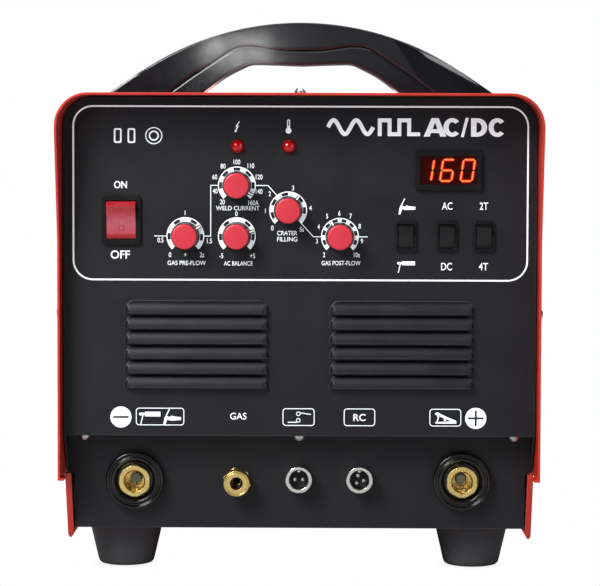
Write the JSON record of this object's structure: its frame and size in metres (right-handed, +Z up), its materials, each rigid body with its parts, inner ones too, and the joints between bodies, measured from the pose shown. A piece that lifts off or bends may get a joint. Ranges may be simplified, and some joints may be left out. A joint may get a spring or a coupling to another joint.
{
  "type": "tig welding machine",
  "caption": "Box-shaped portable inverter TIG welder with a red cover, black control panel, arched carry handle, rotary dials, rocker switches, welding sockets and rubber feet.",
  "frame": {"origin": "on the floor under the middle of the machine, midway between the sides and between its front and back extremes", "axes": "+Z up, front control panel faces -Y, +X to the right as seen from the front"},
  "size_m": [0.3268, 0.504, 0.379],
  "materials": {
    "casing_red": "semi-gloss powder coat",
    "panel_black": "satin",
    "handle_black": "polished",
    "foot_rubber": "matte",
    "steel": "zinc plated",
    "switch_black": "fine grain",
    "rocker_red": "translucent",
    "rocker_black": "fine grain",
    "lens_red": "clear",
    "display_board": "dark",
    "lamp_red": "clear",
    "collar_black": "polished",
    "brass": "machined",
    "chrome": "polished",
    "insert_black": "moulded",
    "fan_black": "moulded",
    "cord_rubber": "matte",
    "knob_black": "satin",
    "cap_red": "satin",
    "pot_steel": "plated",
    "board_green": "solder mask",
    "heatsink": "extruded",
    "core_grey": "ferrite",
    "winding": "varnished",
    "cap_blue": "sleeve",
    "valve_metal": "satin",
    "hose_black": "matte",
    "copper": "bare copper"
  },
  "bodies": {
    "housing": {"cover": "casing_red", "base_tray": "casing_red", "front_panel": "panel_black", "connector_panel": "panel_black", "rear_panel": "panel_black", "handle_shell": "handle_black", "handle_liner": "handle_black", "feet": "foot_rubber", "m5_screws": "steel", "m4_screws": "steel", "power_switch_frame": "switch_black", "mode_switch_frames": "switch_black", "display_bezel": "switch_black", "display_lens": "lens_red", "display_module": "display_board", "indicator_lamps": "lamp_red", "weld_socket_collars": "collar_black", "weld_socket_bodies": "brass", "weld_socket_bolts": "steel", "panel_nuts": "brass", "gas_outlet": "brass", "control_socket_shells": "chrome", "control_socket_inserts": "insert_black", "control_socket_pins": "steel", "fan_frame": "fan_black", "fan_guard": "chrome", "power_cord": "cord_rubber", "cord_gland": "insert_black", "gas_inlet": "brass", "pot_bodies": "pot_steel", "control_board": "board_green", "power_board": "board_green", "heatsinks": "heatsink", "main_transformer": "core_grey", "hf_coil": "winding", "output_choke": "core_grey", "bus_capacitors": "cap_blue", "gas_valve": "valve_metal", "gas_hoses": "hose_black", "output_busbars": "copper"},
    "dial_current": {"knob_current": "knob_black", "cap_current": "cap_red", "shaft_current": "steel"},
    "dial_pre_gas": {"knob_pre_gas": "knob_black", "cap_pre_gas": "cap_red", "shaft_pre_gas": "steel"},
    "dial_balance": {"knob_balance": "knob_black", "cap_balance": "cap_red", "shaft_balance": "steel"},
    "dial_crater": {"knob_crater": "knob_black", "cap_crater": "cap_red", "shaft_crater": "steel"},
    "dial_post_gas": {"knob_post_gas": "knob_black", "cap_post_gas": "cap_red", "shaft_post_gas": "steel"},
    "switch_power": {"power_rocker": "rocker_red"},
    "switch_process": {"process_rocker": "rocker_black"},
    "switch_polarity": {"polarity_rocker": "rocker_black"},
    "switch_trigger": {"trigger_rocker": "rocker_black"},
    "fan": {"fan_rotor": "fan_black"}
  },
  "joints": [
    {"name": "current_dial", "type": "hinge", "parent": "housing", "child": "dial_current", "pos_m": [-0.0419, -0.216, 0.2621], "axis": [0, 1, 0], "range_deg": [-256, 14]},
    {"name": "pre_gas_dial", "type": "hinge", "parent": "housing", "child": "dial_pre_gas", "pos_m": [-0.0762, -0.216, 0.2283], "axis": [0, 1, 0], "range_deg": [-191, 79]},
    {"name": "balance_dial", "type": "hinge", "parent": "housing", "child": "dial_balance", "pos_m": [-0.0419, -0.216, 0.2283], "axis": [0, 1, 0], "range_deg": [-207, 63]},
    {"name": "crater_dial", "type": "hinge", "parent": "housing", "child": "dial_crater", "pos_m": [-0.0077, -0.216, 0.2456], "axis": [0, 1, 0], "range_deg": [-173, 97]},
    {"name": "post_gas_dial", "type": "hinge", "parent": "housing", "child": "dial_post_gas", "pos_m": [0.0268, -0.216, 0.2281], "axis": [0, 1, 0], "range_deg": [-105, 165]},
    {"name": "power_switch", "type": "hinge", "parent": "housing", "child": "switch_power", "pos_m": [-0.1188, -0.2155, 0.2389], "axis": [1, 0, 0], "range_deg": [0, 28]},
    {"name": "process_switch", "type": "hinge", "parent": "housing", "child": "switch_process", "pos_m": [0.0709, -0.2158, 0.2286], "axis": [1, 0, 0], "range_deg": [0, 28]},
    {"name": "polarity_switch", "type": "hinge", "parent": "housing", "child": "switch_polarity", "pos_m": [0.0981, -0.2158, 0.2286], "axis": [1, 0, 0], "range_deg": [0, 28]},
    {"name": "trigger_switch", "type": "hinge", "parent": "housing", "child": "switch_trigger", "pos_m": [0.1228, -0.2158, 0.2286], "axis": [1, 0, 0], "range_deg": [0, 28]},
    {"name": "fan_spin", "type": "hinge", "parent": "housing", "child": "fan", "pos_m": [0, 0.2022, 0.185], "axis": [0, 1, 0], "continuous": true}
  ]
}
